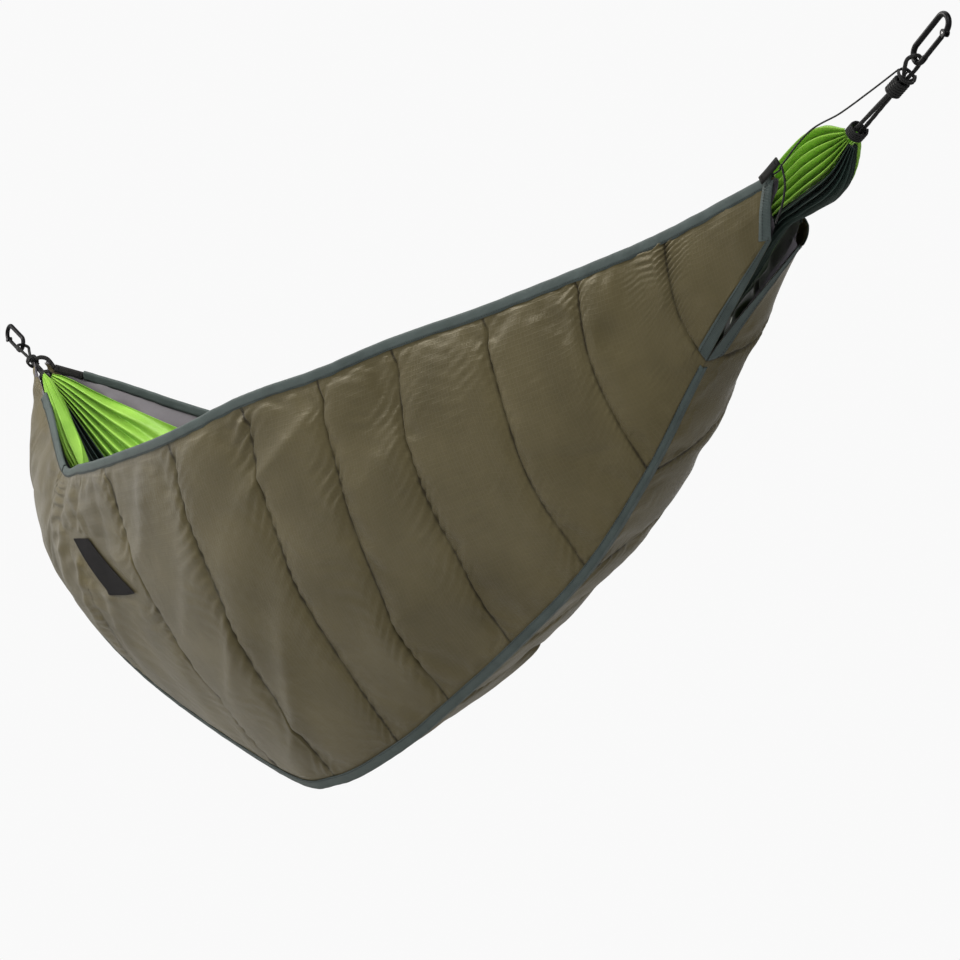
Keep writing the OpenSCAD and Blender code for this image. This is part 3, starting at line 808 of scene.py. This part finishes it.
def on_cloth(shell, points, outs):
    """The points moved along the outward directions onto a shell's own surface."""
    tree = BVHTree.FromObject(shell, bpy.context.evaluated_depsgraph_get())
    moved = points.copy()
    for index in np.ndindex(points.shape[:-1]):
        start = points[index] + outs[index] * RAY_START
        hit = tree.ray_cast(Vector(start), Vector(-outs[index]), 2 * RAY_START)[0]
        if hit is not None:
            moved[index] = hit
    return moved


def patch(shell):
    """Blank woven patch, a little raised at its edges, with a row of stitches."""
    a, b = np.meshgrid(np.linspace(0, 1, 29), np.linspace(0, 1, 15), indexing="ij")
    a, b = a[..., None], b[..., None]
    where = (PATCH[0] * (1 - b) + PATCH[1] * b) * (1 - a) + (PATCH[3] * (1 - b) + PATCH[2] * b) * a
    s, v = where[..., 0], where[..., 1]
    edge = np.minimum(np.minimum(a, 1 - a) * 2.2, np.minimum(b, 1 - b))[..., 0]
    lift = 1.6 * MM + 0.8 * MM * np.exp(-(edge / 0.07) ** 2)
    out = out_at(NEAR, s)
    top = on_cloth(shell, skin(NEAR, s, v), out) + out * lift[..., None]
    obj = grid("blank_patch", top, "patch", "patch")
    thicken(obj, 1.2 * MM)
    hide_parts("label_patch")
    rim = np.vstack([top[1, 1:-1], top[1:-1, -2], top[-2, -2:0:-1], top[-2:0:-1, 1]])
    out = np.tile(out_at(NEAR, np.array(0.27)), (len(rim), 1))
    row = (rim + out * 0.5 * MM, out)
    stitches("patch_stitches", [row], 3 * MM, 1.4 * MM, 0.4 * MM, "dark_thread")


def strap(name, route, width, thickness, node):
    """Flat webbing along a route, with rounded edges and a bar tack at each end."""
    t = np.linspace(0, 1, 24)
    p = spline(MM * np.array(route), t)
    run = unit(np.gradient(p, axis=0))
    side = unit(np.cross(run, [0, 0, 1]))
    up = np.cross(side, run)
    w, h = width / 2 * MM, thickness / 2 * MM
    profile = [(-w, 0), (-w * 0.94, h), (-w / 3, h), (w / 3, h), (w * 0.94, h),
               (w, 0), (w * 0.94, -h), (w / 3, -h), (-w / 3, -h), (-w * 0.94, -h)]
    ring = np.array(profile)
    rings = p[:, None] + up[:, None] * ring[None, :, :1] + side[:, None] * ring[None, :, 1:]
    obj = grid(name, rings, "webbing", "webbing", closed=True)
    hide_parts(node)
    runs = []
    for end in (3, 20):
        for face in (-1, 1):
            centre = p[end] + side[end] * face * (h + 0.2 * MM)
            spread = np.linspace(-0.8, 0.8, 8)[:, None] * w
            runs.append((centre + up[end] * spread, np.tile(side[end] * face, (8, 1))))
    stitches(f"{name}_tacks", runs, 1.6 * MM, 0.4 * MM, 0.5 * MM, "dark_thread")


def webbing():
    """The tabs at three corners and the foot's strap."""
    tab = rim_at(FAR, np.array([0.015, 0.033, 0.05])) / MM + [0, -3.5, -3]
    tie = [[124, -6, -75], [126, 1, -70], [140, 6, -68], [158, 12, -74], tab[0]]
    near_loop = [[2616, -56, -156], [2633, -54, -146], [2650, -51, -134]]
    far_loop = [[2545, 57, -184], [2562, 55.5, -173], [2578, 53, -162]]
    strap("foot_corner_loop", tab, 14, 2, "foot_corner_tab")
    strap("foot_strap", tie, 8, 2, "foot_corner_strap")
    strap("near_head_loop", near_loop, 12, 3, "near_head_tab")
    strap("far_head_loop", far_loop, 12, 3, "far_head_tab")


# ---------------------------------------------------------------- cords, ropes and wraps

def tube(name, points, diameter, paint, sides, node, strands):
    """Round cord through closely spaced points. strands, if not 0, gives it a braided relief."""
    run = unit(np.gradient(points, axis=0))
    up = unit(np.cross(run[0], [0.2, 0.3, 0.93]))
    frames = []
    for heading in run:
        up = unit(up - heading * (up @ heading))
        frames.append((up, np.cross(heading, up)))
    steps = np.insert(np.cumsum(np.linalg.norm(np.diff(points, axis=0), axis=1)), 0, 0)
    angle = np.linspace(0, TURN, sides, endpoint=False)
    radius = np.full((len(points), sides), diameter / 2)
    if strands:
        twist = steps[:, None] / (diameter * 3) * TURN
        relief = np.maximum(np.sin(strands * angle[None] + twist), np.sin(strands * angle[None] - twist))
        radius = radius * (0.97 + 0.05 * relief)
    a, b = (np.array([f[k] for f in frames]) for k in (0, 1))
    rings = (points[:, None] + a[:, None] * (np.cos(angle)[None] * radius)[..., None]
             + b[:, None] * (np.sin(angle)[None] * radius)[..., None])
    obj = grid(name, rings, paint, paint, closed=True)
    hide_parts(node)
    return obj


def line_axes(slope):
    """Directions along, to the side of and above a line that slopes in the XZ plane."""
    along = np.array([math.cos(slope), 0, math.sin(slope)])
    return along, np.array([0, 1.0, 0]), np.cross(along, [0, 1.0, 0])


STEPS_A_TURN = 22


def wrap(name, centre, slope, turns, radius, diameter, paint, node, tail=0.0):
    """Cord wound round a line, in millimetres. Its loose end, of length tail, lies along the outside."""
    along, side, up = line_axes(math.radians(slope))
    t = np.linspace(0, 1, turns * STEPS_A_TURN)
    angle = TURN * turns * t
    pitch = diameter * 1.02
    r = radius * MM * (1 + 0.03 * np.sin(5 * angle + 1))
    start = MM * np.array(centre)
    points = (start + along * (pitch * turns * t - pitch / 2)[:, None] * MM
              + side * (np.cos(angle) * r)[:, None] + up * (np.sin(angle) * r)[:, None])
    if tail:
        reach = np.linspace(0.15, 1, 10)[:, None]
        loose = along * reach * tail * MM + side * reach * 2 * MM - up * reach ** 2 * 3 * MM
        points = np.vstack([points, points[-1] + loose])
    tube(name, points, diameter * MM, paint, 10, node, strands=3)


# Routes in millimetres, as in part.scad
near_cord_end = [[2700, -37, -104], [2752, -22, -86], [2810, -14, -66], [2862, -8, -47.5]]
far_cord_end = [[2650, 37, -116], [2745, 24, -84], [2810, 15, -64], [2862, 8, -47.5]]
gather_route = [[2656, -50, -140], [2660, -47, -165], [2650, -44, -190], [2622, -36, -212]]
head_route = [
    [2752, -6, -112], [2780, -5, -99], [2820, -3.2, -80], [2862, -3.2, -60], [2875, -8.5, -49],
    [2885, -10.5, -38.6], [2892.1, 0, -34.4], [2885, 10.5, -38.6],
    [2875, 8.5, -49], [2862, 3.2, -60], [2820, 3.2, -80], [2780, 5, -99], [2752, 6, -112]]
foot_route = [
    [178, -4, -110], [150, -4, -94], [120, -3.2, -76], [98, -3.2, -62], [80, -8, -49],
    [68.2, -10.5, -38.6], [61.1, 0, -34.4], [68.2, 10.5, -38.6],
    [80, 8, -49], [98, 3.2, -62], [120, 3.2, -76], [150, 4, -94], [178, 4, -110]]


CORD_STATIONS = 36        # points along a whole top edge


def cord_in_fold(side, end):
    """The shock cord's route inside the top tape, then up to the suspension."""
    s = np.arange(7, CORD_STATIONS + 1) / CORD_STATIONS
    p, down, out = rim_frame(side, s)
    inside = p - down * (FOLD - 1.55 * MM) - out * STACK / 2
    lead = spline(np.vstack([inside[-1:], MM * np.array(end)]), np.linspace(0, 1, 29)[1:])
    return np.vstack([inside, lead])


def taut_cord(name, route, diameter, paint, node, steps, sides=10, strands=0):
    """A cord tied to the object at both ends."""
    points = spline(route, np.linspace(0, 1, steps))
    obj = tube(name, points, diameter, paint, sides, node, strands)


def cords():
    for side, name, end, length in ((NEAR, "near", near_cord_end, 2.35), (FAR, "far", far_cord_end, 2.36)):
        route = cord_in_fold(side, end)
        taut_cord(f"{name}_elastic", route, 2.5 * MM, "shock_cord", f"{name}_shock_cord", 900)
    gather, head, foot = (MM * np.array(route) for route in (gather_route, head_route, foot_route))
    taut_cord("gather_elastic", gather, 3 * MM, "shock_cord", "head_gather_cord", 60)
    taut_cord("head_loop", head, 5.6 * MM, "rope", "head_rope", 260, sides=16, strands=4)
    taut_cord("foot_loop", foot, 5.6 * MM, "rope", "foot_cord", 260, sides=16, strands=4)
    wrap("head_wrap", [2752, 0, -112], 26, 5, 12, 3, "rope", "head_whipping")
    wrap("foot_wrap", [182, 0, -112], 154, 4, 11, 3, "rope", "foot_whipping")
    wrap("head_wrapped_knot", [2838, 0, -71.5], 26, 6, 9.6, 4.2, "rope", "head_knot", tail=9)
    wrap("foot_wrapped_knot", [118, 0, -74.8], 149, 3, 9.6, 4.2, "rope", "foot_knot", tail=7)
    wrap("elastic_hitch", [2867, 0, -57], 26, 2, 12.2, 2.6, "shock_cord", "head_cord_hitch")


# ---------------------------------------------------------------- hammock

# The cloth's two edges and its lowest line, as in part.scad
near_edge = MM * np.array([
    [186, 9, -104], [250, 17, -140], [400, 38, -262], [640, 105, -395], [1000, 185, -440],
    [1400, 228, -440], [1800, 176, -390], [2150, 105, -320], [2400, 50, -235], [2560, 28, -158],
    [2640, 28, -116], [2710, 26, -96], [2748, 12, -104]])
far_edge = MM * np.array([
    [186, 9, -104], [250, 20, -122], [400, 70, -190], [640, 140, -272], [1000, 210, -325],
    [1400, 240, -340], [1800, 200, -310], [2150, 125, -250], [2400, 58, -195], [2560, 30, -152],
    [2640, 28, -114], [2710, 26, -95], [2748, 12, -104]])
hammock_low = MM * np.array([
    [186, 0, -124], [250, 0, -180], [400, 0, -330], [640, 0, -520], [1000, 0, -700], [1400, 0, -760],
    [1800, 0, -645], [2150, 0, -485], [2400, 0, -320], [2560, 0, -216], [2640, 0, -192], [2710, 0, -170],
    [2748, 0, -128]])


# Folds across the cloth, and where it splits into its three panels
PLEATS = 9                # folds across each half of the cloth
MIDDLE_SHARE = 0.36       # where the middle panel ends, as u
JOIN = 0.004              # half the gap between two panels, as u


def hammock_at(s, u):
    """Point of the smooth cloth. u is -1 at the near edge, 0 at the low line and 1 at the far edge."""
    e = np.where((u < 0)[..., None], spline(near_edge, s), spline(far_edge, s))
    k = spline(hammock_low, s)
    rise = abs(u) ** 1.7
    aside = e[..., 1] * np.sin(math.pi / 2 * u)
    return np.stack([k[..., 0], aside, k[..., 2] * (1 - rise) + e[..., 2] * rise], -1)


def pleats(s, u, points):
    """Folds that fan out of both gathered ends, as a push along the surface normal in metres."""
    ends = np.minimum(s, 1 - s)
    room = np.minimum(1, ends / 0.12)
    fade = np.exp(-(ends / 0.26) ** 2)
    size = (4 + 16 * room) * fade * MM * (1 + 0.4 * field(points, 0.2, 53)) * (1 - 0.6 * abs(u) ** 4)
    fold = np.sin(TURN * PLEATS * u + 2 * field(points, 0.4, 51))
    return size * fold + 2.5 * MM * (1 - fade) * field(points, 0.3, 52)


def hammock_panel(name, start, stop, paint, slot, node):
    s, u = np.meshgrid(np.linspace(0, 1, 260), np.linspace(start, stop, 96), indexing="ij")
    points = hammock_at(s, u)
    normal = unit(np.cross(np.gradient(points, axis=0), np.gradient(points, axis=1)))
    points = points + normal * pleats(s, u, points)[..., None]
    obj = grid(name, points, paint, slot)
    thicken(obj, 0.8 * MM)
    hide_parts(node)


def hammock():
    inner, outer = MIDDLE_SHARE - JOIN, MIDDLE_SHARE + JOIN
    hammock_panel("hammock_near_cloth", -1, -outer, "lime", "hammock_lime", "hammock_near_panel")
    hammock_panel("hammock_middle_cloth", -inner, inner, "green", "hammock_dark", "hammock_middle_panel")
    hammock_panel("hammock_far_cloth", outer, 1, "lime", "hammock_lime", "hammock_far_panel")


# ---------------------------------------------------------------- metal parts and floor

def dress_metal():
    for node in ("head_carabiner", "foot_hook", "head_gate", "foot_gate"):
        paint_node(node, "anodised")
    for node in ("head_gate_pin", "foot_gate_pin", "head_gate_spring", "foot_gate_spring"):
        paint_node(node, "steel")


def paint_node(node, paint):
    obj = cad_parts[node]
    for place in obj.material_slots:
        place.material = PAINTS[paint]


def floor():
    size, height = 15.0, -1.35
    corners = np.array([[[x, y, height] for y in (-size, size)] for x in (size, -size)])
    mesh = bpy.data.meshes.new("floor")
    mesh.from_pydata(corners.reshape(-1, 3).tolist(), [], [[0, 1, 3, 2]])
    mesh.materials.append(PAINTS["floor"])
    obj = bpy.data.objects.new("floor", mesh)
    bpy.context.scene.collection.objects.link(obj)


PAINTS = make_materials()
add_camera()
add_world()
add_light("key", (-1.3, -3.1, 2.5), 1.6, 235, (1.0, 0.97, 0.9))
add_light("top", (1.2, -0.3, 3.0), 2.4, 60)
add_light("side", (4.4, -2.2, 1.7), 1.2, 70)
bpy.context.scene.view_settings.view_transform = "Standard"

near_cloth = quilt_shell(NEAR, "near_outer", "near_shell")
far_cloth = quilt_shell(FAR, "far_outer", "far_shell")
quilting_thread(NEAR, near_cloth, "near_quilting")
quilting_thread(FAR, far_cloth, "far_quilting")
quilt_lining(NEAR, "near_inner", "near_lining")
quilt_lining(FAR, "far_inner", "far_lining")
quilt_batt(NEAR, "near_batt", "near_insulation")
quilt_batt(FAR, "far_batt", "far_insulation")
all_tapes(near_cloth, far_cloth)
patch(near_cloth)
webbing()
cords()
hammock()
dress_metal()
floor()
